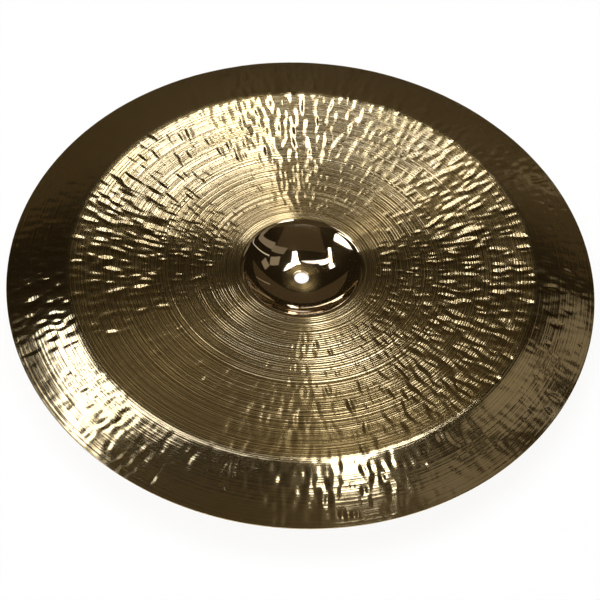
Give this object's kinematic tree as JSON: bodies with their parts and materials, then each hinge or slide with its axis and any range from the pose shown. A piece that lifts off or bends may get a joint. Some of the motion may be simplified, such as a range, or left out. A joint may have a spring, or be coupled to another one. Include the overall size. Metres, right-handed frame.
{
  "type": "china cymbal",
  "caption": "Round bronze china cymbal: cupped bell with a centre hole, dished bow and a flange turned the other way past a crease.",
  "frame": {"origin": "centre of the hole on the crown's lower face, which is the lowest point of the part as it lies on its crown", "axes": "+Z along the cymbal's axis, up out of the hollow of the bell; X and Y are any two square directions across it"},
  "size_m": [0.508, 0.508, 0.0362],
  "materials": {
    "bronze": "hand-hammered and lathed bronze, polished bright; the bell is smooth"
  },
  "bodies": {
    "root": {"cymbal": "bronze"}
  },
  "joints": []
}
